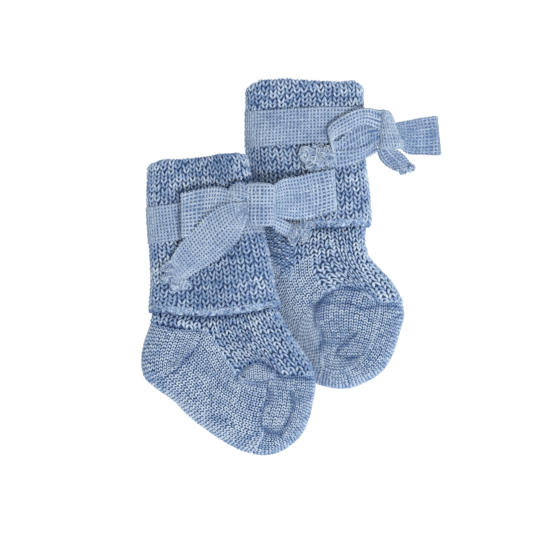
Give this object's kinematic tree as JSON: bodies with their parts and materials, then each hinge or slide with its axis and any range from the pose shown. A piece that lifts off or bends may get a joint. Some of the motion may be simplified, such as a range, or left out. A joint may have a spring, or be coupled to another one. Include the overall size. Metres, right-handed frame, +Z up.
{
  "type": "baby bootie",
  "caption": "Knitted baby booties with a turned-down ribbed cuff and a flat ribbon tied in a bow; each is a soft sock that holds a newborn foot.",
  "frame": {"origin": "on the surface that the pair lies on, under the middle of its box", "axes": "+Y from the toes to the cuffs, +X towards the lower bootie, +Z up from the surface"},
  "size_m": [0.1308, 0.162, 0.0377],
  "materials": {
    "front_cuff_yarn": "knitted, matt, slightly fuzzy",
    "front_leg_yarn": "knitted, matt, slightly fuzzy",
    "front_heel_yarn": "knitted, matt, slightly fuzzy",
    "front_instep_yarn": "knitted, matt, slightly fuzzy",
    "front_sole_yarn": "knitted, matt, slightly fuzzy",
    "front_toe_yarn": "knitted, matt, slightly fuzzy",
    "front_ribbon_band_yarn": "knitted, matt, slightly fuzzy",
    "front_bow_knot_yarn": "knitted, matt, slightly fuzzy",
    "front_loop_left_yarn": "knitted, matt, slightly fuzzy",
    "front_loop_right_yarn": "knitted, matt, slightly fuzzy",
    "front_tail_left_yarn": "knitted, matt, slightly fuzzy",
    "front_tail_right_yarn": "knitted, matt, slightly fuzzy",
    "back_cuff_yarn": "knitted, matt, slightly fuzzy",
    "back_leg_yarn": "knitted, matt, slightly fuzzy",
    "back_heel_yarn": "knitted, matt, slightly fuzzy",
    "back_instep_yarn": "knitted, matt, slightly fuzzy",
    "back_sole_yarn": "knitted, matt, slightly fuzzy",
    "back_toe_yarn": "knitted, matt, slightly fuzzy",
    "back_ribbon_band_yarn": "knitted, matt, slightly fuzzy",
    "back_bow_knot_yarn": "knitted, matt, slightly fuzzy",
    "back_loop_left_yarn": "knitted, matt, slightly fuzzy",
    "back_loop_right_yarn": "knitted, matt, slightly fuzzy",
    "back_tail_left_yarn": "knitted, matt, slightly fuzzy",
    "back_tail_right_yarn": "knitted, matt, slightly fuzzy"
  },
  "bodies": {
    "back_bootie": {"back_cuff": "back_cuff_yarn", "back_leg": "back_leg_yarn", "back_heel": "back_heel_yarn", "back_instep": "back_instep_yarn", "back_sole": "back_sole_yarn", "back_toe": "back_toe_yarn", "back_ribbon_band": "back_ribbon_band_yarn", "back_bow_knot": "back_bow_knot_yarn"},
    "front_bootie": {"front_cuff": "front_cuff_yarn", "front_leg": "front_leg_yarn", "front_heel": "front_heel_yarn", "front_instep": "front_instep_yarn", "front_sole": "front_sole_yarn", "front_toe": "front_toe_yarn", "front_ribbon_band": "front_ribbon_band_yarn", "front_bow_knot": "front_bow_knot_yarn"},
    "front_loop_left": {"front_loop_left": "front_loop_left_yarn"},
    "front_tail_left": {"front_tail_left": "front_tail_left_yarn"},
    "front_loop_right": {"front_loop_right": "front_loop_right_yarn"},
    "front_tail_right": {"front_tail_right": "front_tail_right_yarn"},
    "back_loop_left": {"back_loop_left": "back_loop_left_yarn"},
    "back_tail_left": {"back_tail_left": "back_tail_left_yarn"},
    "back_loop_right": {"back_loop_right": "back_loop_right_yarn"},
    "back_tail_right": {"back_tail_right": "back_tail_right_yarn"}
  },
  "joints": [
    {"name": "front_bootie_lift", "type": "slide", "parent": "back_bootie", "child": "front_bootie", "axis": [0, 0, 1], "range_m": [0, 0.06]},
    {"name": "front_loop_left_lift", "type": "hinge", "parent": "front_bootie", "child": "front_loop_left", "pos_m": [-0.0208, 0.024, 0.0346], "axis": [0, 1, 0], "range_deg": [0, 60]},
    {"name": "front_tail_left_lift", "type": "hinge", "parent": "front_loop_left", "child": "front_tail_left", "pos_m": [-0.0208, 0.0204, 0.0377], "axis": [-0.6112, 0.7915, 0], "range_deg": [0, 45]},
    {"name": "front_loop_right_lift", "type": "hinge", "parent": "front_bootie", "child": "front_loop_right", "pos_m": [-0.0058, 0.0279, 0.0284], "axis": [0.1, -0.995, 0], "range_deg": [0, 60]},
    {"name": "front_tail_right_lift", "type": "hinge", "parent": "front_bootie", "child": "front_tail_right", "pos_m": [-0.007, 0.0183, 0.0266], "axis": [-0.45, -0.893, 0], "range_deg": [0, 60]},
    {"name": "back_loop_left_lift", "type": "hinge", "parent": "back_bootie", "child": "back_loop_left", "pos_m": [0.0391, 0.0627, 0.0186], "axis": [-0.14, 0.9901, 0], "range_deg": [0, 60]},
    {"name": "back_tail_left_lift", "type": "hinge", "parent": "back_bootie", "child": "back_tail_left", "pos_m": [0.0362, 0.0513, 0.0153], "axis": [-0.2501, 0.9682, 0], "range_deg": [0, 60]},
    {"name": "back_loop_right_lift", "type": "hinge", "parent": "back_bootie", "child": "back_loop_right", "pos_m": [0.0479, 0.0583, 0.0096], "axis": [-0.05, -0.9987, 0], "range_deg": [0, 60]},
    {"name": "back_tail_right_lift", "type": "hinge", "parent": "back_bootie", "child": "back_tail_right", "pos_m": [0.0396, 0.05, 0.0063], "axis": [-0.6402, -0.7682, 0], "range_deg": [0, 60]}
  ]
}
